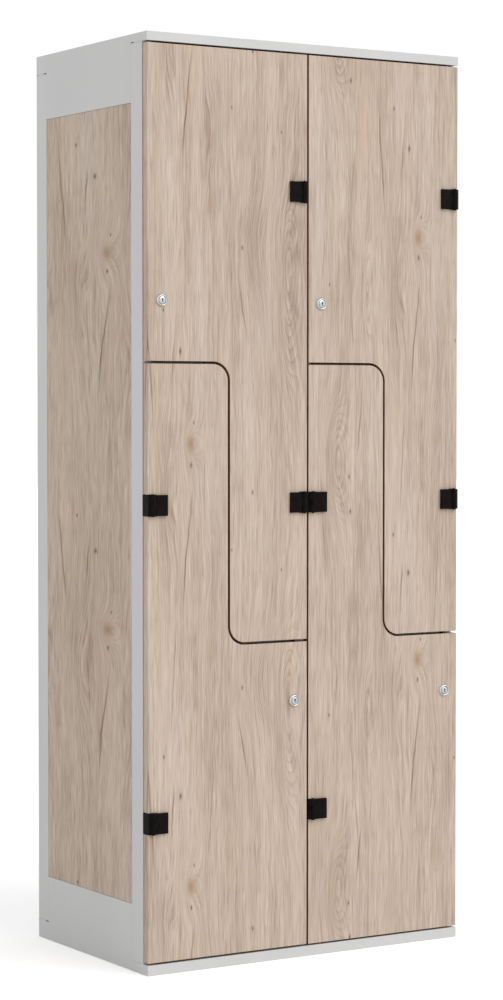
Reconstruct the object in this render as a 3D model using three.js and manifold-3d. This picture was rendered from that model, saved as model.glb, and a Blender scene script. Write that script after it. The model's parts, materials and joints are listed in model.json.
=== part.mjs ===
// Two-column, four-compartment coin operated locker with interlocking Z-shaped doors.
// Millimetres, +Z up, the fronts face -Y. Plan places are worked out from the front left corner
// of the cabinet: "across" runs to the right, "back" runs away from the door faces.
import * as THREE from 'three';
import { mergeVertices } from 'three/addons/utils/BufferGeometryUtils.js';
import Module from 'manifold-3d';

const wasm = await Module();
wasm.setup();

// ---- driving dimensions -------------------------------------------------------------------

const cabinet = { width: 800, depth: 500, height: 1980 };
const columnWidth = cabinet.width / 2;
const sheet = 2;
const seam = 0.15;
const fit = 0.3;

const capLip = 19;
const baseLip = 22;
const rearLip = 42;
const skirtHeight = 143;
const baseFoot = 25;
const slit = { length: 12, height: 2 };

const door = { thickness: 18, backGap: 3, edgeGap: 4, outerInset: 1, centreInset: 2 };
const split = { rise: 300, gap: 5, radius: 36 };
const doorBottom = baseLip + door.edgeGap;
const doorTop = cabinet.height - capLip - door.edgeGap;
const middle = (doorBottom + doorTop) / 2;

const post = { front: door.thickness + door.backGap, flange: 21, side: 47, ledge: 24 };
const infill = { thickness: 10.4, ledgeInset: 11 };
const web = { thickness: 5, depth: 40 };

const hinge = {
  height: 44,
  reach: 46.5,
  leafProud: 6,
  axisIn: 11,
  axisProud: 4,
  barrelRadius: 7,
  pinRadius: 2.4,
  pinHeadRadius: 3.6,
  pinHead: 1.8,
  blockIn: 20.5,
  notchIn: 22,
  farRise: 670,
};
const knuckle = (hinge.height - 2 * fit) / 3;

const lock = {
  inFromEdge: 35,
  rise: 430,
  ringRadius: 13.5,
  ringProud: 5,
  barrelRadius: 11,
  plugRadius: 7,
  camLength: 28,
  camWidth: 14,
  camThickness: 3,
  camGap: 2.3,
  tailRadius: 3.8,
};
const lockCase = { outerEdge: 26.5, width: 60, height: 112, depth: 34 };

const hook = { plateWidth: 24, plateHeight: 58, plate: 3, wire: 3.5, reach: 34 };

// Only the hinges stand in front of the door faces.
const hingeFront = hinge.axisProud + hinge.barrelRadius;

// ---- materials ----------------------------------------------------------------------------

const finish = (name, color, roughness, metalness) =>
  new THREE.MeshStandardMaterial({ name, color, roughness, metalness });

const frameSteel = finish('frame_steel', 0xb9bcbc, 0.45, 0.1);
const oakLaminate = finish('oak_laminate', 0xc8b8a9, 0.6, 0);
const hingeBlack = finish('hinge_black', 0x1c1b1a, 0.4, 0.3);
const pinSteel = finish('pin_steel', 0x242322, 0.35, 0.6);
const nickel = finish('nickel', 0xcfd3d4, 0.2, 1);
const lockZinc = finish('lock_zinc', 0x9a9c9e, 0.4, 0.9);
const casePlastic = finish('case_plastic', 0x2b2c2e, 0.55, 0);

// ---- solids -------------------------------------------------------------------------------

// Merges a geometry's shared points and hands it to manifold-3d for joining and cutting.
function solid(geometry) {
  const bare = geometry.clone();
  bare.deleteAttribute('normal');
  bare.deleteAttribute('uv');
  const merged = mergeVertices(bare, 1e-4);
  const mesh = new wasm.Mesh({
    numProp: 3,
    vertProperties: new Float32Array(merged.attributes.position.array),
    triVerts: new Uint32Array(merged.index.array),
  });
  return new wasm.Manifold(mesh);
}

const join = (first, ...rest) => rest.reduce((whole, part) => whole.add(part), first);
const cut = (first, ...rest) => rest.reduce((whole, part) => whole.subtract(part), first);

function toGeometry(manifold) {
  const mesh = manifold.getMesh();
  const geometry = new THREE.BufferGeometry();
  geometry.setAttribute('position', new THREE.Float32BufferAttribute(mesh.vertProperties, 3));
  geometry.setIndex(Array.from(mesh.triVerts));
  geometry.computeVertexNormals();
  return geometry;
}

// A box between two opposite corners, each corner as across, back and up.
function block(low, high) {
  const size = high.map((value, axis) => value - low[axis]);
  const centre = high.map((value, axis) => (value + low[axis]) / 2);
  return solid(new THREE.BoxGeometry(...size).translate(...centre));
}

// A plan outline (across, back) raised from one height to another.
function upright(outline, bottom, top) {
  const shape = outline instanceof THREE.Shape ? outline : new THREE.Shape(toPoints(outline));
  const geometry = new THREE.ExtrudeGeometry(shape, {
    depth: top - bottom,
    bevelEnabled: false,
    curveSegments: 8,
  });
  return solid(geometry.translate(0, 0, bottom));
}

// A front outline (across, up) given thickness from one depth to another.
function panel(outline, front, back, curveSegments = 6) {
  const shape = outline instanceof THREE.Shape ? outline : new THREE.Shape(toPoints(outline));
  const geometry = new THREE.ExtrudeGeometry(shape, {
    depth: back - front,
    bevelEnabled: false,
    curveSegments,
  });
  return solid(geometry.rotateX(Math.PI / 2).translate(0, back, 0));
}

// A side outline (back, up) given thickness from one place across to another.
function cheek(outline, left, right) {
  const geometry = new THREE.ExtrudeGeometry(new THREE.Shape(toPoints(outline)), {
    depth: right - left,
    bevelEnabled: false,
  });
  return solid(geometry.rotateX(Math.PI / 2).rotateZ(Math.PI / 2).translate(left, 0, 0));
}

const toPoints = (pairs) => pairs.map(([first, second]) => new THREE.Vector2(first, second));

// A round bar standing up, and one lying front to back.
function standingRound(across, back, bottom, top, radius, sides = 20) {
  const geometry = new THREE.CylinderGeometry(radius, radius, top - bottom, sides);
  return solid(geometry.rotateX(Math.PI / 2).translate(across, back, (bottom + top) / 2));
}

function lyingRound(across, up, front, back, radius, sides = 24) {
  const geometry = new THREE.CylinderGeometry(radius, radius, back - front, sides);
  return solid(geometry.translate(across, (front + back) / 2, up));
}

// Mirrors a solid left to right about the middle of the cabinet, or about a column's middle.
function mirrored(manifold, about) {
  return manifold.translate([-about, 0, 0]).mirror([1, 0, 0]).translate([about, 0, 0]);
}

// The whole assembly, moved so that the middle of its bounding box stands over the origin.
const assembly = new THREE.Group();
assembly.position.set(-cabinet.width / 2, -(cabinet.depth - hingeFront) / 2, 0);

function addTo(parent, name, manifold, material) {
  const mesh = new THREE.Mesh(toGeometry(manifold), material);
  mesh.name = name;
  parent.add(mesh);
}

const addToCabinet = (name, manifold, material) => addTo(assembly, name, manifold, material);

// ---- cabinet ------------------------------------------------------------------------------

const postBack = post.front + post.side;
const rearPostFront = cabinet.depth - postBack + post.front;
const capBottom = cabinet.height - capLip;
const rearTop = cabinet.height - rearLip;
const skirtBottom = cabinet.height - skirtHeight;

// The side of the cap, seen from the left: stepped up over the heads of both posts.
function skirtOutline(lip) {
  const lipBottom = cabinet.height - lip;
  return [
    [0, lipBottom],
    [postBack + seam, lipBottom],
    [postBack + seam, skirtBottom],
    [rearPostFront - seam, skirtBottom],
    [rearPostFront - seam, rearTop],
    [cabinet.depth, rearTop],
    [cabinet.depth, cabinet.height],
    [0, cabinet.height],
  ];
}

// Small relief slits where a skirt's bends meet the ends of the posts.
function skirtSlits(lip) {
  const lipBottom = cabinet.height - lip;
  const places = [
    [post.front - slit.length / 3, post.front, lipBottom],
    [postBack - slit.length, postBack + seam, lipBottom],
    [rearPostFront - seam, rearPostFront + slit.length, rearTop],
    [cabinet.depth - slit.length / 2, cabinet.depth, rearTop],
  ];
  return places.map(([front, back, up]) =>
    block([-1, front, up], [sheet + 1, back, up + slit.height])
  );
}

// One side skirt with the turned-in ledge that backs the infill panel.
function skirt(lip) {
  const ledgeFront = postBack + post.ledge + fit;
  const ledgeBack = rearPostFront - post.ledge - fit;
  const ledgeInner = infill.ledgeInset + sheet;
  const side = join(
    cheek(skirtOutline(lip), 0, sheet),
    block([0, ledgeFront, skirtBottom], [ledgeInner, ledgeBack, skirtBottom + sheet]),
    block(
      [infill.ledgeInset, ledgeFront, skirtBottom - post.ledge],
      [ledgeInner, ledgeBack, skirtBottom + sheet]
    )
  );
  return cut(side, ...skirtSlits(lip));
}

// What the cap and the base share: a front lip, a rear lip and two side skirts.
function foldedRim(lip) {
  const side = skirt(lip);
  return join(
    side,
    mirrored(side, cabinet.width / 2),
    block([0, 0, cabinet.height - lip], [cabinet.width, sheet, cabinet.height]),
    block([0, cabinet.depth - sheet, rearTop], [cabinet.width, cabinet.depth, cabinet.height])
  );
}

function topCap() {
  const roofUnder = cabinet.height - sheet;
  const soffitBack = postBack - slit.length - fit;
  return join(
    foldedRim(capLip),
    block([0, 0, roofUnder], [cabinet.width, cabinet.depth, cabinet.height]),
    block([0, 0, capBottom], [cabinet.width, soffitBack, capBottom + sheet])
  );
}

// The base is the same rim turned over, carrying the raised floor of the compartments, with a
// turned-in foot all round that it stands on.
function baseTray() {
  const { width, depth, height } = cabinet;
  const turnedOver = foldedRim(baseLip).mirror([0, 0, 1]).translate([0, 0, height]);
  const floor = block([0, 0, baseLip - sheet], [width, depth, baseLip]);
  const foot = cut(
    block([0, 0, 0], [width, depth, sheet]),
    block([baseFoot, baseFoot, -1], [width - baseFoot, depth - baseFoot, sheet + 1])
  );
  return join(turnedOver, floor, foot);
}

// A folded post: front flange, side wall and the ledge that backs the infill panel.
function postOutline() {
  const ledge = infill.ledgeInset;
  return [
    [0, post.front],
    [post.flange, post.front],
    [post.flange, post.front + sheet],
    [sheet, post.front + sheet],
    [sheet, postBack - sheet],
    [ledge + sheet, postBack - sheet],
    [ledge + sheet, postBack + post.ledge],
    [ledge, postBack + post.ledge],
    [ledge, postBack],
    [0, postBack],
  ];
}

function rearPostOutline() {
  const bothEnds = cabinet.depth + post.front;
  return postOutline().map(([across, back]) => [across, bothEnds - back]).reverse();
}

const frontPost = () => upright(postOutline(), baseLip + seam, capBottom - seam);
const rearPost = () => upright(rearPostOutline(), rearLip + seam, rearTop - seam);

function infillPanel() {
  return block(
    [fit, postBack + fit, skirtHeight + fit],
    [infill.thickness, rearPostFront - fit, skirtBottom - fit]
  );
}

// The T-shaped middle post: a flange for both doors to close on, and a web.
function centrePost() {
  const centre = cabinet.width / 2;
  const bottom = baseLip + fit;
  const top = capBottom - fit;
  const flangeBack = post.front + sheet;
  return join(
    block([centre - post.flange, post.front, bottom], [centre + post.flange, flangeBack, top]),
    block(
      [centre - web.thickness / 2, post.front, bottom],
      [centre + web.thickness / 2, flangeBack + web.depth, top]
    )
  );
}

const panelFront = cabinet.depth - 2 * sheet - 2 * fit;
const panelTop = cabinet.height - sheet - fit;

function backPanel() {
  return block(
    [sheet + fit, panelFront, baseLip + fit],
    [cabinet.width - sheet - fit, panelFront + sheet, panelTop]
  );
}

function centrePartition() {
  const centre = cabinet.width / 2;
  return block(
    [centre - sheet / 2, post.front + sheet + web.depth + fit, baseLip + fit],
    [centre + sheet / 2, panelFront - fit, panelTop]
  );
}

// The shelf folded twice between the two compartments of a column, with front lips.
function divider(columnLeft) {
  const outerWall = infill.ledgeInset + sheet + fit;
  const innerWall = web.thickness / 2 + fit;
  const inLeftColumn = columnLeft === 0;
  const left = columnLeft + (inLeftColumn ? outerWall : innerWall);
  const right = columnLeft + columnWidth - (inLeftColumn ? innerWall : outerWall);
  const bend = 12;
  const front = post.front + sheet + 10;
  const lipDrop = 22;
  const high = middle + split.rise + sheet / 2;
  const low = middle - split.rise - sheet / 2;
  const wallLeft = columnLeft + columnWidth / 2 - sheet / 2;
  const wallRight = wallLeft + sheet;
  const shape = new THREE.Shape();
  shape.moveTo(left, high);
  shape.lineTo(left, high - sheet);
  shape.lineTo(wallLeft - bend, high - sheet);
  shape.absarc(wallLeft - bend, high - sheet - bend, bend, Math.PI / 2, 0, true);
  shape.absarc(wallRight + bend, low + sheet + bend, bend + sheet, Math.PI, 1.5 * Math.PI, false);
  shape.lineTo(right, low);
  shape.lineTo(right, low + sheet);
  shape.absarc(wallRight + bend, low + sheet + bend, bend, 1.5 * Math.PI, Math.PI, true);
  shape.absarc(wallLeft - bend, high - sheet - bend, bend + sheet, 0, Math.PI / 2, false);
  const lipStart = columnLeft + post.flange + fit;
  const lipEnd = columnLeft + columnWidth - post.flange - fit;
  return join(
    panel(shape, front, panelFront - fit, 5),
    block([lipStart, front, high - lipDrop], [wallLeft - bend, front + sheet, high]),
    block([wallRight + bend, front, low + sheet - lipDrop], [lipEnd, front + sheet, low + sheet])
  );
}

// A double-bend coat hook on a plate, standing on the back panel.
function coatHook(across, up) {
  const plateFront = panelFront - fit - hook.plate;
  const plate = block(
    [across - hook.plateWidth / 2, plateFront, up - hook.plateHeight / 2],
    [across + hook.plateWidth / 2, plateFront + hook.plate, up + hook.plateHeight / 2]
  );
  const path = new THREE.CatmullRomCurve3([
    new THREE.Vector3(across, plateFront + 1, up + 12),
    new THREE.Vector3(across, plateFront - hook.reach * 0.5, up + 6),
    new THREE.Vector3(across, plateFront - hook.reach * 0.9, up + 4),
    new THREE.Vector3(across, plateFront - hook.reach, up + 24),
  ]);
  const wire = new THREE.ExtrudeGeometry(
    new THREE.Shape().absarc(0, 0, hook.wire, 0, 2 * Math.PI, false),
    { extrudePath: path, steps: 10, curveSegments: 5 }
  );
  return join(plate, solid(wire));
}

// ---- doors, hinges and locks --------------------------------------------------------------
// Every door is drawn once, as a lower one: the hinge edge of its column at 0 across, and its
// heights counted from the middle of the doors. An upper door is the same turned half round.

const halfHeight = (doorTop - doorBottom) / 2;
const halfHinge = hinge.height / 2;
const hingeHeights = { mid: 0, far: -hinge.farRise };
const lockAcross = columnWidth - lock.inFromEdge;

function doorOutline(hingeInset, freeInset) {
  const half = split.gap / 2;
  const centre = columnWidth / 2;
  const legEdge = centre - half;
  const shelf = -split.rise - half;
  const legTop = split.rise - half;
  const notch = halfHinge + 2 * fit;
  const shape = new THREE.Shape();
  shape.moveTo(hingeInset, -halfHeight);
  shape.lineTo(columnWidth - freeInset, -halfHeight);
  shape.lineTo(columnWidth - freeInset, shelf);
  const outerRadius = split.radius + split.gap;
  shape.absarc(legEdge + outerRadius, shelf + outerRadius, outerRadius, 1.5 * Math.PI, Math.PI, true);
  shape.absarc(legEdge - split.radius, legTop - split.radius, split.radius, 0, Math.PI / 2, false);
  shape.lineTo(hingeInset, legTop);
  for (const height of [hingeHeights.mid, hingeHeights.far]) {
    shape.lineTo(hingeInset, height + notch);
    shape.lineTo(hinge.notchIn, height + notch);
    shape.lineTo(hinge.notchIn, height - notch);
    shape.lineTo(hingeInset, height - notch);
  }
  return shape;
}

function doorPanel(hingeInset, freeInset) {
  const hole = lyingRound(lockAcross, -lock.rise, -1, door.thickness + 1, lock.barrelRadius + fit);
  return cut(panel(doorOutline(hingeInset, freeInset), 0, door.thickness, 8), hole);
}

// The fixed half of a hinge: a block that comes forward from the post through the door's notch,
// with the upper and lower knuckles. In plan its flank runs on to the barrel as a tangent.
function hingeBlockOutline() {
  const radius = hinge.barrelRadius;
  const flankEnd = -hinge.axisProud + 1;
  const toFlank = Math.atan2(flankEnd + hinge.axisProud, -hinge.axisIn);
  const offset = Math.acos(radius / Math.hypot(flankEnd + hinge.axisProud, hinge.axisIn));
  const shape = new THREE.Shape();
  shape.moveTo(0, post.front - fit / 2);
  shape.lineTo(0, flankEnd);
  shape.absarc(hinge.axisIn, -hinge.axisProud, radius, toFlank + offset, 2 * Math.PI, false);
  shape.lineTo(hinge.axisIn + radius, fit);
  shape.lineTo(hinge.blockIn, fit);
  shape.lineTo(hinge.blockIn, post.front - fit / 2);
  return shape;
}

function hingeBlock(height) {
  const radius = hinge.barrelRadius;
  const body = upright(hingeBlockOutline(), height - halfHinge, height + halfHinge);
  const flank = 3;
  const room = block(
    [flank, -hingeFront - 1, height - knuckle / 2 - fit],
    [hinge.blockIn + 1, radius - hinge.axisProud + 2 * fit, height + knuckle / 2 + fit]
  );
  return cut(body, room, pinBore(height));
}

const pinBore = (height) =>
  standingRound(
    hinge.axisIn,
    -hinge.axisProud,
    height - halfHinge - 1,
    height + halfHinge + 1,
    hinge.pinRadius + fit
  );

// The moving half: a thick leaf on the door face with the middle knuckle.
function hingeLeaf(height) {
  const leafBack = -fit / 2;
  const low = height - knuckle / 2;
  const high = height + knuckle / 2;
  const leafStart = hinge.axisIn + hinge.barrelRadius + 1;
  const leaf = block(
    [leafStart, -hinge.leafProud, height - halfHinge],
    [hinge.reach, leafBack, height + halfHinge]
  );
  const bridge = block([hinge.axisIn, -hinge.leafProud, low], [leafStart + 1, leafBack, high]);
  const barrel = standingRound(hinge.axisIn, -hinge.axisProud, low, high, hinge.barrelRadius);
  return cut(join(leaf, bridge, barrel), pinBore(height));
}

function hingePin(height) {
  const end = halfHinge + fit;
  const profile = [
    [0, -end - hinge.pinHead],
    [hinge.pinHeadRadius - 0.8, -end - hinge.pinHead],
    [hinge.pinHeadRadius, -end - hinge.pinHead / 2],
    [hinge.pinHeadRadius, -end],
    [hinge.pinRadius, -end],
  ];
  const mirroredEnd = profile.map(([radius, up]) => [radius, -up]).reverse();
  const geometry = new THREE.LatheGeometry(toPoints([...profile, ...mirroredEnd]), 16);
  return solid(geometry.rotateX(Math.PI / 2).translate(hinge.axisIn, -hinge.axisProud, height));
}

// The round escutcheon and threaded barrel that holds the key plug.
function lockBarrel() {
  const back = door.thickness + fit / 2;
  const rim = 1.5;
  const ring = lyingRound(lockAcross, -lock.rise, -lock.ringProud, -fit / 2, lock.ringRadius, 32);
  const tube = lyingRound(lockAcross, -lock.rise, -lock.ringProud / 2, back, lock.barrelRadius);
  const dish = lyingRound(
    lockAcross,
    -lock.rise,
    -lock.ringProud - 1,
    rim - lock.ringProud,
    lock.ringRadius - 2 * rim
  );
  const bore = lyingRound(lockAcross, -lock.rise, -lock.ringProud, back + 1, lock.plugRadius + fit);
  return cut(join(ring, tube), dish, bore);
}

const camFront = post.front + sheet + lock.camGap;
const camBack = camFront + lock.camThickness;

// The key plug: a slotted round face, a body, and the tail that carries the cam.
function lockPlug() {
  const face = 1 - lock.ringProud;
  const body = lyingRound(lockAcross, -lock.rise, face, camFront - fit, lock.plugRadius);
  const tail = lyingRound(lockAcross, -lock.rise, door.thickness, camBack + 1, lock.tailRadius);
  const keyway = block(
    [lockAcross - 1, face - 1, -lock.rise - 4],
    [lockAcross + 1, face + 10, -lock.rise + 4]
  );
  return cut(join(body, tail), keyway);
}

// The cam points along the door at rest, unlocked, and a quarter turn puts it behind the post.
function lockCam() {
  const half = lock.camWidth / 2;
  const tip = lock.camLength - half;
  const shape = new THREE.Shape();
  shape.absarc(0, tip, half, 0, Math.PI, false);
  shape.absarc(0, 0, half, Math.PI, 2 * Math.PI, false);
  const plate = panel(shape, camFront, camBack).translate([lockAcross, 0, -lock.rise]);
  const hole = lyingRound(lockAcross, -lock.rise, camFront - 1, camBack + 1, lock.tailRadius + fit);
  return cut(plate, hole);
}

// The coin lock's case behind the door, with the cam's slot, the plug's bore and the coin slot.
function coinCase() {
  const edge = columnWidth - lockCase.outerEdge;
  const inner = edge - lockCase.width;
  const front = door.thickness + fit;
  const back = front + lockCase.depth;
  const halfCase = lockCase.height / 2;
  const body = block([inner, front, -lock.rise - halfCase], [edge, back, -lock.rise + halfCase]);
  const camRoom = block(
    [lockAcross - lock.camWidth / 2 - 1, camFront - 1, -lock.rise - lock.camWidth / 2 - 1],
    [edge + 1, camBack + 1 + fit, -lock.rise + lock.camLength + 2]
  );
  const bore = lyingRound(lockAcross, -lock.rise, front - 1, camFront, lock.plugRadius + fit);
  const coinSlot = block(
    [inner + 8, back - 14, -lock.rise - 1.6],
    [inner + 36, back + 1, -lock.rise + 1.6]
  );
  return cut(body, camRoom, bore, coinSlot);
}

// ---- the assembly -------------------------------------------------------------------------

addToCabinet('top_cap', topCap(), frameSteel);
addToCabinet('base_tray', baseTray(), frameSteel);
addToCabinet('front_left_post', frontPost(), frameSteel);
addToCabinet('front_right_post', mirrored(frontPost(), cabinet.width / 2), frameSteel);
addToCabinet('rear_left_post', rearPost(), frameSteel);
addToCabinet('rear_right_post', mirrored(rearPost(), cabinet.width / 2), frameSteel);
addToCabinet('centre_post', centrePost(), frameSteel);
addToCabinet('left_infill', infillPanel(), oakLaminate);
addToCabinet('right_infill', mirrored(infillPanel(), cabinet.width / 2), oakLaminate);
addToCabinet('back_panel', backPanel(), frameSteel);
addToCabinet('centre_partition', centrePartition(), frameSteel);
addToCabinet('left_divider', divider(0), frameSteel);
addToCabinet('right_divider', divider(columnWidth), frameSteel);

// Each door unit hangs on the column edge where its hinges are.
const doorUnits = [
  { name: 'upper_left', hingeEdge: columnWidth, upper: true, outer: false, sharesMidBlock: true },
  { name: 'lower_left', hingeEdge: 0, upper: false, outer: true, sharesMidBlock: false },
  { name: 'upper_right', hingeEdge: cabinet.width, upper: true, outer: true, sharesMidBlock: false },
  { name: 'lower_right', hingeEdge: columnWidth, upper: false, outer: false, sharesMidBlock: true },
];

for (const unit of doorUnits) {
  const place = new THREE.Group();
  place.position.set(unit.hingeEdge, 0, middle);
  place.rotation.y = unit.upper ? Math.PI : 0;
  assembly.add(place);
  const put = (piece, manifold, material) => addTo(place, `${unit.name}_${piece}`, manifold, material);
  const hingeInset = unit.outer ? door.outerInset : door.centreInset;
  const freeInset = unit.outer ? door.centreInset : door.outerInset;
  put('door', doorPanel(hingeInset, freeInset), oakLaminate);
  for (const [spot, height] of Object.entries(hingeHeights)) {
    put(`${spot}_hinge_leaf`, hingeLeaf(height), hingeBlack);
    put(`${spot}_hinge_pin`, hingePin(height), pinSteel);
    const shared = unit.sharesMidBlock && spot === 'mid';
    if (!shared) {
      put(`${spot}_hinge_block`, hingeBlock(height), hingeBlack);
    }
  }
  put('lock_barrel', lockBarrel(), nickel);
  put('lock_plug', lockPlug(), nickel);
  put('lock_cam', lockCam(), lockZinc);
  put('coin_lock_case', coinCase(), casePlastic);
}

// The two middle hinges of the centre post share one block, one half for each column.
const rightHalf = hingeBlock(0).translate([columnWidth, 0, middle]);
const leftHalf = hingeBlock(0).rotate([0, 180, 0]).translate([columnWidth, 0, middle]);
addToCabinet('centre_mid_hinge_block', join(rightHalf, leftHalf), hingeBlack);

for (const [side, columnLeft] of [['left', 0], ['right', columnWidth]]) {
  const upperHook = coatHook(columnLeft + columnWidth * 0.75, doorTop - 90);
  const lowerHook = coatHook(columnLeft + columnWidth * 0.25, middle + split.rise - 70);
  addToCabinet(`upper_${side}_coat_hook`, upperHook, lockZinc);
  addToCabinet(`lower_${side}_coat_hook`, lowerHook, lockZinc);
}

export default assembly;
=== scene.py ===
"""A coin operated locker: the finish of every surface and the small fittings, in metres.

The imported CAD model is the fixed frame. Every place here is worked out from its boxes.
"""

import json
import math

import bmesh
import bpy
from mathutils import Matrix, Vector


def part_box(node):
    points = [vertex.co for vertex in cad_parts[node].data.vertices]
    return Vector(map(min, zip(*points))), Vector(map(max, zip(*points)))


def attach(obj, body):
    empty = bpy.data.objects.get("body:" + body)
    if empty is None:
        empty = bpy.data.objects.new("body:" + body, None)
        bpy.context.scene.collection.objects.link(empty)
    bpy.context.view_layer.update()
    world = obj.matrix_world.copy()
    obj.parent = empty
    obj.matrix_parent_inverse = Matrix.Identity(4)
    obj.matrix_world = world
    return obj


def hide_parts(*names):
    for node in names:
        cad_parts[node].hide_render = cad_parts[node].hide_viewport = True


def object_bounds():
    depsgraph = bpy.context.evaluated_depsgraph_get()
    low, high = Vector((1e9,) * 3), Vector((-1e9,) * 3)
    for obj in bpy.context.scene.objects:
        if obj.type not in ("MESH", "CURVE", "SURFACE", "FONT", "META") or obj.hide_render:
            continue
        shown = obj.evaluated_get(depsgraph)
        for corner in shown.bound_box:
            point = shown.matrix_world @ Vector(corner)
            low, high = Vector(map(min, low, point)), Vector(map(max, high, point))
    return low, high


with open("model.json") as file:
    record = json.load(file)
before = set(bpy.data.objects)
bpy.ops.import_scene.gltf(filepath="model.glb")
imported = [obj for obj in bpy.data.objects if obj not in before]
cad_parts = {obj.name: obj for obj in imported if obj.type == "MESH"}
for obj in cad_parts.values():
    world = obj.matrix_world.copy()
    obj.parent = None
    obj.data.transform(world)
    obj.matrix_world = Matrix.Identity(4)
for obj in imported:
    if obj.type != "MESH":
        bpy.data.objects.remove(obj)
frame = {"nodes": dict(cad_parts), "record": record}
cad_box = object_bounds()

MM = 0.001
DOORS = ("upper_left", "lower_left", "upper_right", "lower_right")
HINGE_SPOTS = ("mid", "far")
ROUND_STEPS = 64

# Fittings, in millimetres.
RIVET_ROWS = 9
RIVET_END = 80
BUFFER_END = 60
BUFFER_INNER = 560
BACK_PLATE = (23, 42)
BACK_PLATE_THICKNESS = 1.6

door_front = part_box("upper_left_door")[0].y
door_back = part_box("upper_left_door")[1].y
post_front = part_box("centre_post")[0].y


# ---- camera, light and stage --------------------------------------------------------------

CAMERA_PLACE = (-3.1300, -5.0608, 1.2006)
CAMERA_TURN = (87.96, 0.0, -31.80)
CAMERA_LENS = 95.3
SKY_LEVEL = 0.72
SUN_LEVEL = 1.26
SUN_TURN = (52.0, 0.0, 28.0)


def make_camera():
    camera = bpy.data.objects.new("camera", bpy.data.cameras.new("camera"))
    camera.data.lens = CAMERA_LENS
    camera.data.sensor_width = 36.0
    camera.data.clip_end = 60.0
    camera.location = CAMERA_PLACE
    camera.rotation_euler = [math.radians(angle) for angle in CAMERA_TURN]
    bpy.context.scene.collection.objects.link(camera)
    bpy.context.scene.camera = camera


def make_sun():
    lamp = bpy.data.lights.new("sun", "SUN")
    lamp.energy = SUN_LEVEL
    lamp.angle = math.radians(50.0)
    sun = bpy.data.objects.new("sun", lamp)
    sun.rotation_euler = [math.radians(angle) for angle in SUN_TURN]
    bpy.context.scene.collection.objects.link(sun)


def make_sky():
    """An even white sky that lights the object softly and shows as plain white."""
    world = bpy.data.worlds.new("sky")
    bpy.context.scene.world = world
    world.use_nodes = True
    tree = world.node_tree
    path = tree.nodes.new("ShaderNodeLightPath")
    seen = tree.nodes.new("ShaderNodeMath")
    seen.operation = "MAXIMUM"
    shown = tree.nodes.new("ShaderNodeMath")
    shown.operation = "MAXIMUM"
    level = tree.nodes.new("ShaderNodeMapRange")
    level.inputs["To Min"].default_value = SKY_LEVEL
    level.inputs["To Max"].default_value = 1.0
    background = tree.nodes["Background"]
    background.inputs["Color"].default_value = (1.0, 1.0, 1.0, 1.0)
    tree.links.new(path.outputs["Is Camera Ray"], seen.inputs[0])
    tree.links.new(path.outputs["Is Glossy Ray"], seen.inputs[1])
    tree.links.new(seen.outputs[0], shown.inputs[0])
    tree.links.new(path.outputs["Is Transmission Ray"], shown.inputs[1])
    tree.links.new(shown.outputs[0], level.inputs["Value"])
    tree.links.new(level.outputs["Result"], background.inputs["Strength"])


def make_floor():
    """A pale floor that meets the white sky without a line and keeps a soft shadow."""
    size = 30.0
    mesh = bpy.data.meshes.new("floor")
    corners = [(-size, -size, 0), (size, -size, 0), (size, size, 0), (-size, size, 0)]
    mesh.from_pydata(corners, [], [(0, 1, 2, 3)])
    floor = bpy.data.objects.new("floor", mesh)
    floor.location.z = -0.3 * MM
    bpy.context.scene.collection.objects.link(floor)
    material = bpy.data.materials.new("floor")
    material.use_nodes = True
    tree = material.node_tree
    surface = tree.nodes["Principled BSDF"]
    surface.inputs["Base Color"].default_value = (0.86, 0.86, 0.86, 1.0)
    surface.inputs["Roughness"].default_value = 1.0
    surface.inputs["Specular IOR Level"].default_value = 0.0
    surface.inputs["Emission Color"].default_value = (1.0, 1.0, 1.0, 1.0)
    path = tree.nodes.new("ShaderNodeLightPath")
    glow = tree.nodes.new("ShaderNodeMapRange")
    glow.inputs["To Max"].default_value = 0.34
    tree.links.new(path.outputs["Is Camera Ray"], glow.inputs["Value"])
    tree.links.new(glow.outputs["Result"], surface.inputs["Emission Strength"])
    mesh.materials.append(material)


# ---- materials: a short language for node trees -------------------------------------------


def srgb(red, green, blue):
    """A colour as it shows on screen, 0 to 255, as the linear colour a shader takes."""

    def linear(level):
        level /= 255.0
        return level / 12.92 if level <= 0.04045 else ((level + 0.055) / 1.055) ** 2.4

    return (linear(red), linear(green), linear(blue), 1.0)


class Term:
    """A number that varies over a surface. Arithmetic on terms adds Math nodes."""

    def __init__(self, tree, socket):
        self.tree = tree
        self.socket = socket

    def work(self, operation, *others):
        node = self.tree.nodes.new("ShaderNodeMath")
        node.operation = operation
        for slot, value in zip(node.inputs, (self, *others)):
            if isinstance(value, Term):
                self.tree.links.new(value.socket, slot)
            else:
                slot.default_value = value
        return Term(self.tree, node.outputs[0])

    def __add__(self, other):
        return self.work("ADD", other)

    def __sub__(self, other):
        return self.work("SUBTRACT", other)

    def __mul__(self, other):
        return self.work("MULTIPLY", other)

    def __truediv__(self, other):
        return self.work("DIVIDE", other)

    def power(self, exponent):
        return self.work("POWER", exponent)

    def size(self):
        return self.work("ABSOLUTE")

    def fraction(self):
        return self.work("FRACT")

    def sine(self):
        return self.work("SINE")

    def above(self, level):
        return self.work("GREATER_THAN", level)

    def wrapped(self, low, high):
        return self.work("WRAP", high, low)

    def decay(self):
        """1 at zero, falling to nothing as the term grows."""
        return (self * -1.0).work("EXPONENT")

    def step(self, low, high):
        """0 below low and 1 above high, with a smooth rise between them."""
        node = self.tree.nodes.new("ShaderNodeMapRange")
        node.interpolation_type = "SMOOTHSTEP"
        self.tree.links.new(self.socket, node.inputs["Value"])
        node.inputs["From Min"].default_value = low
        node.inputs["From Max"].default_value = high
        return Term(self.tree, node.outputs["Result"])


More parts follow.
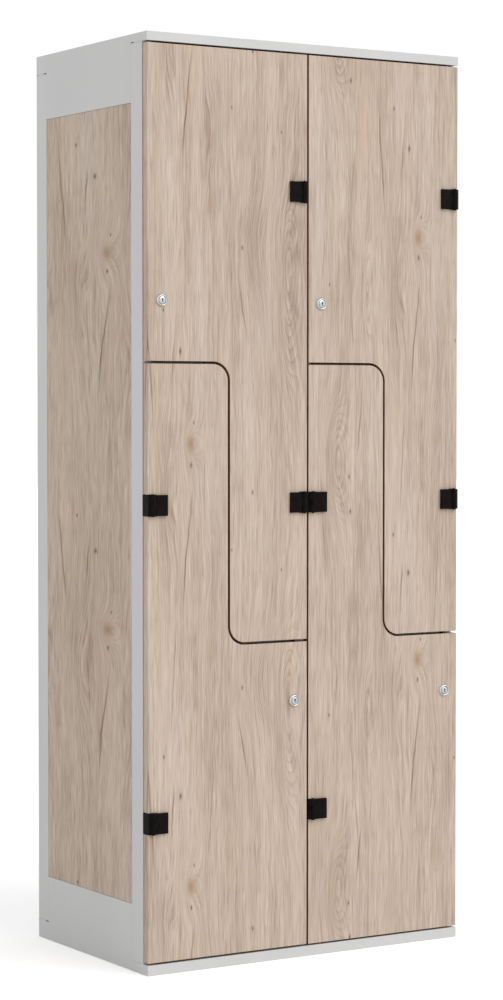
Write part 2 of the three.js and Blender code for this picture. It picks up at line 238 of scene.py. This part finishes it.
class Paint:
    """One material: its place on the object, noises, colour blends and outputs."""

    def __init__(self, name, roughness, metallic=0.0, specular=0.5):
        self.material = bpy.data.materials.new(name)
        self.material.use_nodes = True
        self.tree = self.material.node_tree
        self.surface = self.tree.nodes["Principled BSDF"]
        self.surface.inputs["Roughness"].default_value = roughness
        self.surface.inputs["Metallic"].default_value = metallic
        self.surface.inputs["Specular IOR Level"].default_value = specular

    def place(self):
        """x, y and z of the point in the row frame at rest, in metres."""
        coordinates = self.tree.nodes.new("ShaderNodeTexCoord")
        split = self.tree.nodes.new("ShaderNodeSeparateXYZ")
        self.tree.links.new(coordinates.outputs["Object"], split.inputs[0])
        return [Term(self.tree, output) for output in split.outputs]

    def noise(self, x, y, z=0.0, detail=2.0, roughness=0.5):
        """Smooth noise around zero, from -0.5 to 0.5, at the given point."""
        joined = self.tree.nodes.new("ShaderNodeCombineXYZ")
        for slot, value in zip(joined.inputs, (x, y, z)):
            if isinstance(value, Term):
                self.tree.links.new(value.socket, slot)
            else:
                slot.default_value = value
        texture = self.tree.nodes.new("ShaderNodeTexNoise")
        texture.inputs["Scale"].default_value = 1.0
        texture.inputs["Detail"].default_value = detail
        texture.inputs["Roughness"].default_value = roughness
        self.tree.links.new(joined.outputs[0], texture.inputs["Vector"])
        return Term(self.tree, texture.outputs[0]) - 0.5

    def blend(self, amount, first, second):
        """The colour first where amount is 0, and second where it is 1."""
        node = self.tree.nodes.new("ShaderNodeMix")
        node.data_type = "RGBA"
        self.tree.links.new(amount.socket, node.inputs["Factor"])
        for slot, colour in zip((node.inputs[6], node.inputs[7]), (first, second)):
            if isinstance(colour, Term):
                self.tree.links.new(colour.socket, slot)
            else:
                slot.default_value = colour
        return Term(self.tree, node.outputs[2])

    def colour(self, term):
        self.tree.links.new(term.socket, self.surface.inputs["Base Color"])

    def rough(self, term):
        self.tree.links.new(term.socket, self.surface.inputs["Roughness"])

    def bump(self, term, depth):
        """Lets the surface rise by depth metres where term goes from 0 to 1."""
        node = self.tree.nodes.new("ShaderNodeBump")
        node.inputs["Strength"].default_value = 1.0
        node.inputs["Distance"].default_value = depth
        self.tree.links.new(term.socket, node.inputs["Height"])
        self.tree.links.new(node.outputs["Normal"], self.surface.inputs["Normal"])


# ---- the oak laminate ---------------------------------------------------------------------

# The printed oak repeats up the sheet. The right column is cut from a shifted sheet, and on
# the side panels the print is wider and a little shorter.
PRINT_REPEAT = 0.940
COLUMN_SHIFT = 0.587
COLUMN_RISE = 0.454
SIDE_WIDENING = 2.1
SIDE_SHORTENING = 0.86
SIDE_KNOT = (0.173, 1.527)
BIG_KNOT = (0.106, 0.180)
BROWN_CLOUD = (0.157, 0.682)
RING_SPACING = 5.2 * MM

# Figures of the print: centre across and along the sheet, half sizes, and rings pushed aside.
FIGURES = (
    (BIG_KNOT, (0.024, 0.050), 8.0),
    ((0.276, 0.605), (0.046, 0.120), 8.5),
    ((0.343, 0.535), (0.032, 0.250), 13.0),
    ((-0.118, 0.620), (0.034, 0.150), 13.0),
    ((0.160, 0.860), (0.020, 0.120), -4.0),
    ((0.045, 0.080), (0.026, 0.160), 6.0),
    ((-0.034, 0.060), (0.014, 0.130), 5.0),
)

# Long dark grain lines: place across, sway to each side, where the sway peaks, and half width.
GRAIN_LINES = (
    (0.208, 0.009, 0.200, 1.7 * MM),
    (-0.064, 0.016, 0.600, 1.7 * MM),
    (0.150, 0.012, 0.500, 1.1 * MM),
    (0.262, 0.010, 0.050, 1.3 * MM),
    (-0.150, 0.010, 0.300, 1.1 * MM),
    (0.060, 0.008, 0.800, 1.1 * MM),
    (0.385, 0.006, 0.700, 1.1 * MM),
    (-0.020, 0.010, 0.100, 1.1 * MM),
)

# Short cracks: place across, middle along, half length, and lean (across for each along).
CRACKS = (
    (0.090, 0.830, 0.055, 0.06),
    (0.099, 0.925, 0.085, 0.12),
    (0.003, 0.400, 0.060, -0.05),
    (0.010, 0.300, 0.060, -0.06),
    (0.062, 0.350, 0.045, 0.06),
    (-0.052, 0.700, 0.050, 0.10),
    (0.234, 0.470, 0.050, -0.18),
)

# Small dark knots: place across and along, and half width.
KNOTS = (
    (0.080, 0.375, 2.8 * MM),
    (0.039, 0.461, 1.8 * MM),
    (-0.076, 0.515, 2.4 * MM),
    (-0.079, 0.591, 1.8 * MM),
    (0.207, 0.893, 1.5 * MM),
    (0.332, 0.847, 1.4 * MM),
    (0.259, 0.075, 2.0 * MM),
    (0.233, 0.597, 2.0 * MM),
    (-0.131, 0.070, 1.6 * MM),
    (0.113, 0.225, 1.5 * MM),
    (0.106, 0.135, 2.2 * MM),
)


def hill(across, along, centre, spread):
    """1 at a place of the print, falling smoothly to 0 around it, at every repeat."""
    over = (across - centre[0]) / spread[0]
    up = (along - centre[1]).wrapped(-PRINT_REPEAT / 2, PRINT_REPEAT / 2) / spread[1]
    return (over * over + up * up).decay()


def total(terms):
    """The sum of several terms."""
    first, *rest = terms
    for term in rest:
        first = first + term
    return first


def print_place(x, y, z):
    """Where a point lies on the printed sheet: across the grain and along it."""
    right_column = x.above(0.0)
    door_across = x + y - (door_front + cad_box[0][0]) - right_column * COLUMN_SHIFT
    door_along = z - right_column * COLUMN_RISE
    side_across = (y - (door_front + SIDE_KNOT[0])) / -SIDE_WIDENING + BIG_KNOT[0]
    side_along = (z - SIDE_KNOT[1]) / SIDE_SHORTENING + BIG_KNOT[1]
    side = y.above(post_front)
    across = door_across + (side_across - door_across) * side
    along = door_along + (side_along - door_along) * side
    return across, along


def grain_lines(paint, across, along):
    """Long wavy dark lines that fade in and out along the grain."""
    lines = []
    for number, (place, sway, peak, width) in enumerate(GRAIN_LINES):
        phase = (along - peak + PRINT_REPEAT / 4) * (2 * math.pi / PRINT_REPEAT)
        distance = (across - place - phase.sine() * sway).size()
        strength = paint.noise(along * 9.0, number * 3.7).step(-0.10, 0.20)
        lines.append((distance / width).power(2.0).decay() * strength)
    return total(lines)


def crack_marks(across, along):
    """Short, thin, dark cracks that taper at both ends."""
    marks = []
    for place, middle, half_length, lean in CRACKS:
        up = (along - middle).wrapped(-PRINT_REPEAT / 2, PRINT_REPEAT / 2)
        distance = (across - place - up * lean).size()
        taper = (up / half_length).power(2.0).decay()
        marks.append((distance / (1.5 * MM)).power(2.0).decay() * taper)
    return total(marks)


def gap_edge_core_and_painted_shade(paint, x, y):
    """1 on the edges that face the gaps between the doors, and 0 on the faces and the outer edges.
    Their brown is partly the board's own core and partly painted shade of the gaps.
    """
    coordinates = paint.tree.nodes.new("ShaderNodeTexCoord")
    split = paint.tree.nodes.new("ShaderNodeSeparateXYZ")
    paint.tree.links.new(coordinates.outputs["Normal"], split.inputs[0])
    facing_front = Term(paint.tree, split.outputs[1]).size()
    outer = cad_box[1][0] - 4 * MM
    inside = (x.size() * -1.0).above(-outer)
    within_door = (y * -1.0).above(-door_back - 0.1 * MM)
    return facing_front.step(0.80, 0.45) * inside * within_door


def oak_laminate():
    """Pale greige oak print: rings, figures, fibres, grain lines, cracks and knots."""
    paint = Paint("oak_laminate", roughness=0.58, specular=0.3)
    x, y, z = paint.place()
    across, along = print_place(x, y, z)
    wander = paint.noise(across * 22.0, along * 7.0, detail=3.0)
    drift = paint.noise(across * 5.0, along * 1.3, 4.0)
    squiggle = paint.noise(across * 70.0, along * 26.0, 2.0)
    near = across + wander * (10 * MM) + squiggle * (2.2 * MM)

    figures = [(hill(near, along, centre, spread), push) for centre, spread, push in FIGURES]
    pushed = total([shape * push for shape, push in figures])
    figured = total([shape for shape, _ in figures])
    rings = (near + drift * 0.05) / RING_SPACING + pushed
    latewood = rings.fraction().power(2.2)
    thin_rings = (rings * 2.3).fraction().power(2.0)
    patch = paint.noise(across * 11.0, along * 2.4, 7.0).step(-0.10, 0.30)
    ring_tone = latewood * (figured * 0.85 + patch * 0.45 + 0.12)
    ring_tone = ring_tone + thin_rings * (figured * 0.35 + patch * 0.25)

    flow = near + pushed * (0.5 * RING_SPACING)
    fibre = paint.noise(flow * 620.0, along * 18.0, detail=1.0)
    strand = paint.noise(flow * 190.0, along * 5.5, 2.0)
    band = paint.noise(flow * 34.0, along * 1.6, 5.0)
    broad = paint.noise(across * 9.0, along * 1.1, 9.0)
    tone = fibre * 1.2 + strand * 1.1 + band * 0.7 + broad * 0.35 - ring_tone * 0.50

    body = paint.blend(tone.step(-1.0, 0.72), srgb(156, 133, 115), srgb(216, 199, 183))

    warmth = paint.noise(across * 13.0, along * 1.7, 12.0).step(0.02, 0.32)
    body = paint.blend(warmth * 0.40, body, srgb(203, 177, 155))
    coolness = paint.noise(across * 16.0, along * 1.2, 15.0).step(0.02, 0.32)
    body = paint.blend(coolness * 0.35, body, srgb(208, 196, 188))

    pores = paint.noise(flow * 420.0, along * 22.0, 3.0, detail=0.0).step(0.15, 0.28)
    body = paint.blend(pores * 0.22, body, srgb(132, 110, 93))

    cloud = hill(near, along, BROWN_CLOUD, (0.012, 0.030))
    halo = hill(near, along, BIG_KNOT, (0.020, 0.036))
    heart = hill(near, along, BIG_KNOT, (0.011, 0.020))
    body = paint.blend(halo * 0.45, body, srgb(214, 200, 186))
    body = paint.blend(heart * 0.85 + cloud * 0.35, body, srgb(162, 131, 104))

    lines = grain_lines(paint, near, along)
    body = paint.blend(lines * 0.50, body, srgb(120, 98, 82))
    marks = crack_marks(near, along)
    body = paint.blend(marks * 0.70, body, srgb(104, 80, 62))
    knots = total([hill(across, along, (s, t), (r, r * 2.4)) for s, t, r in KNOTS])
    body = paint.blend(knots * 0.85, body, srgb(84, 64, 51))
    # Edges in the gaps between doors: brown board core, darkened further as painted shade of the
    # gaps.
    body = paint.blend(gap_edge_core_and_painted_shade(paint, x, y), body, srgb(134, 98, 68))

    paint.colour(body)
    paint.rough(fibre * 0.10 + ring_tone * 0.06 + 0.58)
    paint.bump(fibre * 0.5 + strand * 0.4 - ring_tone * 0.3 - pores * 0.3, 0.12 * MM)
    return paint.material


# ---- metals and plastics ------------------------------------------------------------------


def frame_steel():
    """Light grey satin powder coat with a fine orange peel."""
    paint = Paint("frame_steel", roughness=0.42, specular=0.35)
    x, y, z = paint.place()
    peel = paint.noise(x * 900.0, y * 900.0, z * 900.0)
    cloud = paint.noise(x * 5.0, y * 5.0, z * 2.0)
    speck = paint.noise(x * 260.0, y * 260.0, z * 260.0, detail=3.0)
    tone = (cloud * 0.8 + speck * 0.5).step(-0.5, 0.5)
    paint.colour(paint.blend(tone, srgb(202, 203, 202), srgb(211, 211, 210)))
    paint.rough(speck * 0.12 + 0.42)
    paint.bump(peel, 0.05 * MM)
    return paint.material


def hinge_black():
    """Black satin coat with a fine grain, dusty grey where hands rub it."""
    paint = Paint("hinge_black", roughness=0.42, specular=0.05)
    x, y, z = paint.place()
    grain = paint.noise(x * 1100.0, y * 1100.0, z * 1100.0)
    rub = paint.noise(x * 90.0, y * 90.0, z * 60.0, detail=3.0)
    paint.colour(paint.blend((rub + grain * 0.3).step(-0.4, 0.5), srgb(12, 11, 9), srgb(26, 23, 20)))
    paint.rough(grain * 0.15 + 0.45)
    paint.bump(grain, 0.03 * MM)
    return paint.material


def turned_metal(name, dark, pale, roughness):
    """Plated metal with fine turning lines and faint cloudiness."""
    paint = Paint(name, roughness=roughness, metallic=1.0)
    x, y, z = paint.place()
    cloud = paint.noise(x * 120.0, y * 120.0, z * 120.0, detail=3.0)
    brush = paint.noise(x * 2400.0, y * 500.0, z * 2400.0)
    paint.colour(paint.blend((cloud + brush * 0.4).step(-0.4, 0.4), dark, pale))
    paint.rough(cloud * 0.12 + brush * 0.06 + roughness)
    paint.bump(brush, 0.01 * MM)
    return paint.material


def moulded(name, dark, pale, roughness, specular=0.3):
    """Moulded plastic or rubber with a fine spark-eroded grain."""
    paint = Paint(name, roughness=roughness, specular=specular)
    x, y, z = paint.place()
    grain = paint.noise(x * 1500.0, y * 1500.0, z * 1500.0)
    flow = paint.noise(x * 40.0, y * 40.0, z * 25.0)
    paint.colour(paint.blend((flow + grain * 0.3).step(-0.4, 0.4), dark, pale))
    paint.rough(grain * 0.18 + roughness)
    paint.bump(grain, 0.04 * MM)
    return paint.material


MATERIALS = {
    "frame_steel": frame_steel(),
    "oak_laminate": oak_laminate(),
    "hinge_black": hinge_black(),
    "pin_steel": turned_metal("pin_steel", srgb(26, 25, 24), srgb(46, 44, 42), 0.38),
    "nickel": turned_metal("nickel", srgb(196, 199, 201), srgb(224, 226, 227), 0.20),
    "lock_zinc": turned_metal("lock_zinc", srgb(142, 145, 148), srgb(170, 172, 173), 0.38),
    "case_plastic": moulded("case_plastic", srgb(36, 37, 39), srgb(50, 51, 54), 0.5),
    "rubber": moulded("rubber", srgb(58, 58, 60), srgb(76, 76, 78), 0.7, 0.2),
    # Painted shade: a near-black finish for the walls of grooves, slots and screw sockets, standing
    # in for the shade in these hollows.
    "recess_painted_shade": moulded("recess_painted_shade", srgb(18, 18, 19), srgb(34, 34, 36), 0.6, 0.1),
}


# ---- edges of the CAD nodes ---------------------------------------------------------------

# The radius worn or pressed on the edges of each kind of piece.
EDGE_RADIUS = {
    "oak_laminate": 1.3 * MM,
    "frame_steel": 0.5 * MM,
    "hinge_black": 0.9 * MM,
    "pin_steel": 0.4 * MM,
    "nickel": 0.3 * MM,
    "lock_zinc": 0.4 * MM,
    "case_plastic": 1.5 * MM,
}


def smooth_group():
    """Geometry nodes that shade a mesh smoothly, except over edges sharper than a bevel's."""
    group = bpy.data.node_groups.new("smooth_shading", "GeometryNodeTree")
    group.is_modifier = True
    group.interface.new_socket("Geometry", in_out="INPUT", socket_type="NodeSocketGeometry")
    group.interface.new_socket("Geometry", in_out="OUTPUT", socket_type="NodeSocketGeometry")
    start = group.nodes.new("NodeGroupInput")
    end = group.nodes.new("NodeGroupOutput")
    plain = group.nodes.new("GeometryNodeRemoveAttribute")
    plain.inputs["Name"].default_value = "custom_normal"
    faces = group.nodes.new("GeometryNodeSetShadeSmooth")
    faces.domain = "FACE"
    edges = group.nodes.new("GeometryNodeSetShadeSmooth")
    edges.domain = "EDGE"
    edges.inputs["Shade Smooth"].default_value = False
    angle = group.nodes.new("GeometryNodeInputMeshEdgeAngle")
    sharp = group.nodes.new("FunctionNodeCompare")
    sharp.operation = "GREATER_THAN"
    sharp.inputs["B"].default_value = math.radians(40.0)
    group.links.new(start.outputs[0], plain.inputs["Geometry"])
    group.links.new(plain.outputs[0], faces.inputs["Geometry"])
    group.links.new(faces.outputs[0], edges.inputs["Geometry"])
    group.links.new(angle.outputs["Unsigned Angle"], sharp.inputs["A"])
    group.links.new(sharp.outputs[0], edges.inputs["Selection"])
    group.links.new(edges.outputs[0], end.inputs[0])
    return group


SMOOTH = smooth_group()


def round_edges(piece, radius):
    """Rounds a piece's sharp edges and shades it smoothly."""
    weld = piece.modifiers.new("weld", "WELD")
    weld.merge_threshold = 0.01 * MM
    flats = piece.modifiers.new("flats", "DECIMATE")
    flats.decimate_type = "DISSOLVE"
    flats.angle_limit = math.radians(0.5)
    bevel = piece.modifiers.new("bevel", "BEVEL")
    bevel.width = radius
    bevel.segments = 3
    bevel.limit_method = "ANGLE"
    bevel.angle_limit = math.radians(35.0)
    smooth = piece.modifiers.new("smooth", "NODES")
    smooth.node_group = SMOOTH
    normals = piece.modifiers.new("normals", "WEIGHTED_NORMAL")
    normals.keep_sharp = True


def finish_cad_nodes():
    slots = {part["node"]: part["material_slot"] for part in frame["record"]["subparts"]}
    for name, node in frame["nodes"].items():
        slot = slots[name]
        node.material_slots[0].material = MATERIALS[slot]
        round_edges(node, EDGE_RADIUS[slot])


# ---- building the fittings ----------------------------------------------------------------


def piece_from(name, mesh_maker, materials, body):
    """A new piece made by a bmesh function, which rides on a body.

    Its first material gives its slot; mesh_maker may use the others by index.
    """
    mesh = bpy.data.meshes.new(name)
    shape = bmesh.new()
    mesh_maker(shape)
    bmesh.ops.recalc_face_normals(shape, faces=shape.faces)
    shape.to_mesh(mesh)
    shape.free()
    for material in materials:
        mesh.materials.append(MATERIALS[material])
    piece = bpy.data.objects.new(name, mesh)
    bpy.context.scene.collection.objects.link(piece)
    smooth = piece.modifiers.new("smooth", "NODES")
    smooth.node_group = SMOOTH
    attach(piece, body)
    return piece


def add_turned(shape, profile, centre, facing, steps=ROUND_STEPS):
    """Adds a turned body: profile is (radius, height) pairs in millimetres.

    A profile from axis to axis makes a solid, and one that stays off the axis makes a ring.
    centre is where height 0 lies, and facing is the direction in which height grows.
    """
    turn = Vector((0, 0, 1)).rotation_difference(Vector(facing)).to_matrix()
    loops = []
    for radius, height in profile:
        count = steps if radius else 1
        loop = []
        for step in range(count):
            angle = 2 * math.pi * step / steps
            local = Vector((radius * math.cos(angle), radius * math.sin(angle), height)) * MM
            loop.append(shape.verts.new(turn @ local + Vector(centre)))
        loops.append(loop)
    if profile[0][0]:
        loops.append(loops[0])
    faces = []
    for low, high in zip(loops, loops[1:]):
        for step in range(steps):
            after = (step + 1) % steps
            corners = [low[step % len(low)], low[after % len(low)]]
            corners += [high[after % len(high)], high[step % len(high)]]
            distinct = list(dict.fromkeys(corners))
            if len(distinct) > 2:
                faces.append(shape.faces.new(distinct))
    return faces


def domed(radius, height, round_by, back=0.0):
    """The profile of a disc whose front edge is rounded, in millimetres."""
    arc = []
    for step in range(6):
        angle = math.pi / 2 * step / 5
        across = radius - round_by + round_by * math.cos(angle)
        arc.append((across, height - round_by + round_by * math.sin(angle)))
    return [(0, back), (radius, back), *arc, (0, height)]


def add_plate(shape, centre, width, height, depth, corner, facing):
    """Adds a flat plate in the door plane with round corners and a chamfered front edge.

    Sizes are in millimetres. Its back is at centre, and facing is 1 or -1 along y.
    """
    chamfer = min(0.6, depth / 3)
    rings = []
    for rise, inset in ((0.0, 0.0), (depth - chamfer, 0.0), (depth, chamfer)):
        ring = []
        for quarter in range(4):
            side_x = 1 if quarter in (0, 3) else -1
            side_z = 1 if quarter in (0, 1) else -1
            for step in range(7):
                angle = math.pi / 2 * (quarter + step / 6)
                x = side_x * (width / 2 - corner) + (corner - inset) * math.cos(angle)
                z = side_z * (height / 2 - corner) + (corner - inset) * math.sin(angle)
                ring.append(shape.verts.new(Vector(centre) + Vector((x, facing * rise, z)) * MM))
        rings.append(ring)
    for low, high in zip(rings, rings[1:]):
        for index in range(len(low)):
            after = (index + 1) % len(low)
            shape.faces.new((low[index], low[after], high[after], high[index]))
    shape.faces.new(rings[0])
    return shape.faces.new(rings[-1])


def add_screw(shape, centre, facing, radius=3.4):
    """Adds a pan-head screw whose hexagon socket is a thin flat hexagon of painted shade on the
    head, in the second material.
    """
    head = 1.7
    add_turned(shape, domed(radius, head, 0.8), centre, facing, 24)
    above = Vector(centre) + Vector(facing) * (head * MM)
    # Painted shade: the socket is not cut, so a thin dark hexagon stands in for its hollow.
    for face in add_turned(shape, [(0, 0), (radius * 0.5, 0), (radius * 0.5, 0.06), (0, 0.06)],
                           above, facing, 6):
        face.material_index = 1


def carve(piece, cutter_maker, material):
    """Cuts a shape out of a piece; the walls of the cut take the given material."""
    mesh = bpy.data.meshes.new("cutter")
    shape = bmesh.new()
    cutter_maker(shape)
    bmesh.ops.recalc_face_normals(shape, faces=shape.faces)
    shape.to_mesh(mesh)
    shape.free()
    mesh.materials.append(MATERIALS[material])
    cutter = bpy.data.objects.new("cutter", mesh)
    bpy.context.scene.collection.objects.link(cutter)
    cut = piece.modifiers.new("cut", "BOOLEAN")
    cut.operation = "DIFFERENCE"
    cut.solver = "EXACT"
    cut.use_self = True
    cut.material_mode = "TRANSFER"
    cut.object = cutter
    with bpy.context.temp_override(object=piece, active_object=piece):
        piece.modifiers.move(len(piece.modifiers) - 1, 0)
        bpy.ops.object.modifier_apply(modifier="cut")
    bpy.data.objects.remove(cutter)


# ---- locks --------------------------------------------------------------------------------

TOWARDS_VIEWER = (0, -1, 0)
INWARDS = (0, 1, 0)


def middle_of(node):
    low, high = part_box(node)
    return (low + high) / 2


def lock_place(door):
    """The point on the door's front plane where the lock's axis passes."""
    centre = middle_of(f"{door}_lock_barrel")
    return Vector((centre.x, door_front, centre.z))


def key_ring(door):
    """The flared ring round the plug, with the groove inside it painted dark as shade."""
    depth = (door_back - door_front) / MM
    profile = [
        (8.0, -depth), (11.0, -depth), (11.0, 0.2), (13.3, 0.2), (13.5, 0.9), (13.2, 1.8),
        (12.3, 3.2), (11.6, 4.2), (11.0, 4.8), (10.4, 5.0), (9.9, 4.8), (9.4, 4.2),
        (8.8, 2.4), (8.3, 1.9), (8.3, 0.2), (8.0, 0.0),
    ]

    def build(shape):
        centre = lock_place(door)
        for face in add_turned(shape, profile, centre, TOWARDS_VIEWER):
            # The inner wall and floor of the groove take painted shade.
            offset = face.calc_center_median() - centre
            if math.hypot(offset.x, offset.z) < 9.0 * MM:
                face.material_index = 1

    piece = piece_from(f"{door}_key_ring", build, ("nickel", "recess_painted_shade"), f"{door}_door")
    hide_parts(f"{door}_lock_barrel")


def key_plug(door):
    """The turning plug with its keyway, and the tail that carries the cam."""
    tail = (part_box(f"{door}_lock_plug")[1].y - door_front) / MM
    shoulder = (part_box(f"{door}_lock_cam")[0].y - door_front) / MM - 0.3
    profile = [
        (0, -tail), (3.2, -tail), (3.8, -tail + 0.6), (3.8, -shoulder), (7.0, -shoulder),
        (7.6, 0.4), (8.0, 0.8), (8.0, 3.3), (7.7, 3.8), (7.1, 4.0), (0, 4.0),
    ]
    place = lock_place(door)

    def build(shape):
        add_turned(shape, profile, place, TOWARDS_VIEWER)

    def recess_painted_shade(shape):
        """A straight slot with a round entry near its top."""
        face = place + Vector((0, -1 * MM, 0))
        add_plate(shape, face, 1.9, 8.4, 4.0, 0.9, -1)
        add_turned(shape, [(0, 0), (1.9, 0), (1.9, 4.2), (0, 4.2)],
                   face + Vector((0, 0, 1.8 * MM)), TOWARDS_VIEWER, 24)

    piece = piece_from(f"{door}_key_plug_face", build, ("nickel",), f"{door}_key_plug")
    # The walls of the keyway take painted shade, a near-black finish for its hollow.
    carve(piece, recess_painted_shade, "recess_painted_shade")
    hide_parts(f"{door}_lock_plug")


def case_fittings(door):
    """The lid of the coin lock's case, its screws, the coin slot's rim and the return cup."""
    low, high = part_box(f"{door}_coin_lock_case")
    centre = Vector(((low.x + high.x) / 2, high.y, (low.z + high.z) / 2))
    slot_side = -1 if centre.x > lock_place(door).x else 1
    slot_x = centre.x - slot_side * 8 * MM
    cup_z = centre.z - 34 * MM

    def screws(shape):
        for side_x in (-1, 1):
            for side_z in (-1, 1):
                corner = Vector((side_x * 24 * MM, 0, side_z * 50 * MM))
                add_screw(shape, centre + corner, INWARDS, 2.8)

    def cup(shape):
        front = add_plate(shape, (centre.x, high.y, cup_z), 34, 22, 9, 4, 1)
        bmesh.ops.inset_region(shape, faces=[front], thickness=1.6 * MM)
        bmesh.ops.translate(shape, verts=front.verts, vec=Vector((0, -7 * MM, 0)))

    def rim(shape):
        add_plate(shape, (slot_x, high.y, centre.z), 40, 15, 1.6, 3, 1)

    def opening(shape):
        add_plate(shape, (slot_x, high.y - 1 * MM, centre.z), 28, 3.2, 4, 1.4, 1)

    body = f"{door}_door"
    piece_from(f"{door}_case_screws", screws, ("lock_zinc", "recess_painted_shade"), body)
    piece_from(f"{door}_coin_return_cup", cup, ("case_plastic",), body)
    coin_rim = piece_from(f"{door}_coin_slot_rim", rim, ("nickel",), body)
    # The walls of the coin slot take painted shade.
    carve(coin_rim, opening, "recess_painted_shade")


# ---- hinges, hooks and small hardware -----------------------------------------------------


def hinge_back_plate(door, spot):
    """The plate and screws behind a hinge leaf, on the inner face of the door."""
    leaf_low, leaf_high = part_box(f"{door}_{spot}_hinge_leaf")
    axis_x = middle_of(f"{door}_{spot}_hinge_pin").x
    far_x = leaf_low.x if abs(leaf_low.x - axis_x) > abs(leaf_high.x - axis_x) else leaf_high.x
    side = 1 if far_x > axis_x else -1
    centre = Vector((far_x - side * 12.5 * MM, door_back, (leaf_low.z + leaf_high.z) / 2))

    def plate(shape):
        add_plate(shape, centre, *BACK_PLATE, BACK_PLATE_THICKNESS, 3, 1)

    def screws(shape):
        for side_z in (-1, 1):
            place = centre + Vector((0, BACK_PLATE_THICKNESS * MM, side_z * 12 * MM))
            add_screw(shape, place, INWARDS, 3.8)

    piece_from(f"{door}_{spot}_hinge_back_plate", plate, ("hinge_black",), f"{door}_door")
    piece_from(f"{door}_{spot}_hinge_screws", screws, ("lock_zinc", "recess_painted_shade"), f"{door}_door")


def pin_heads(door, spot):
    """A smooth hinge pin with domed heads in place of the faceted one."""
    low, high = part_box(f"{door}_{spot}_hinge_pin")
    centre = (low + high) / 2
    end = (high.z - centre.z) / MM
    head = [(3.6, end - 1.8), (3.5, end - 1.0), (3.0, end - 0.4), (2.0, end)]
    upper_half = [(2.4, 0), (2.4, end - 1.8), *head, (0, end)]
    lower_half = [(radius, -height) for radius, height in reversed(upper_half[1:])]

    def build(shape):
        add_turned(shape, [*lower_half, *upper_half], centre, (0, 0, 1), 32)

    piece = piece_from(f"{door}_{spot}_hinge_pin_turned", build, ("pin_steel",), "cabinet")
    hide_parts(f"{door}_{spot}_hinge_pin")


def hook_fittings(door):
    """The ball on the tip of a coat hook, and the two screws of its plate."""
    low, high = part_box(f"{door}_coat_hook")
    centre = (low + high) / 2
    wire = 3.5 * MM
    tip = Vector((centre.x, low.y + wire, centre.z + 24 * MM))
    plate_face = high.y - 3 * MM

    def ball(shape):
        arc = [math.pi * step / 16 for step in range(17)]
        profile = [(5.5 * math.sin(angle), -5.5 * math.cos(angle)) for angle in arc]
        profile[0] = (0, -5.5)
        profile[-1] = (0, 5.5)
        add_turned(shape, profile, tip, (0, 0, 1), 32)

    def screws(shape):
        for side_z in (-1, 1):
            place = Vector((centre.x, plate_face, centre.z + side_z * 21 * MM))
            add_screw(shape, place, TOWARDS_VIEWER, 3.2)

    piece_from(f"{door}_hook_ball", ball, ("lock_zinc",), "cabinet")
    piece_from(f"{door}_hook_screws", screws, ("lock_zinc", "recess_painted_shade"), "cabinet")


def door_buffers(door):
    """Two soft buffers on the post, where the free edge of the door closes."""
    low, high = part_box(f"{door}_door")
    axis_x = middle_of(f"{door}_mid_hinge_pin").x
    free_x = high.x - 9 * MM if abs(low.x - axis_x) < abs(high.x - axis_x) else low.x + 9 * MM
    upper = door.startswith("upper")
    places = [high.z - up * MM if upper else low.z + up * MM for up in (BUFFER_END, BUFFER_INNER)]

    def build(shape):
        for z in places:
            add_turned(shape, domed(4.5, 2.4, 1.2), (free_x, post_front, z), TOWARDS_VIEWER, 32)

    piece_from(f"{door}_door_buffers", build, ("rubber",), "cabinet")


def back_rivets():
    """A row of blind rivets that holds the back panel to the centre partition."""
    low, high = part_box("back_panel")
    def build(shape):
        for row in range(RIVET_ROWS):
            run = high.z - low.z - 2 * RIVET_END * MM
            z = low.z + RIVET_END * MM + run * row / (RIVET_ROWS - 1)
            place = ((low.x + high.x) / 2, high.y, z)
            add_turned(shape, domed(3.2, 1.2, 0.9), place, INWARDS, 20)

    piece_from("back_rivets", build, ("lock_zinc",), "cabinet")


def make_fittings():
    for door in DOORS:
        key_ring(door)
        key_plug(door)
        case_fittings(door)
        hook_fittings(door)
        door_buffers(door)
        for spot in HINGE_SPOTS:
            hinge_back_plate(door, spot)
            pin_heads(door, spot)
    back_rivets()


make_camera()
make_sun()
make_sky()
make_floor()
finish_cad_nodes()
make_fittings()

bpy.context.scene.view_settings.view_transform = "Standard"
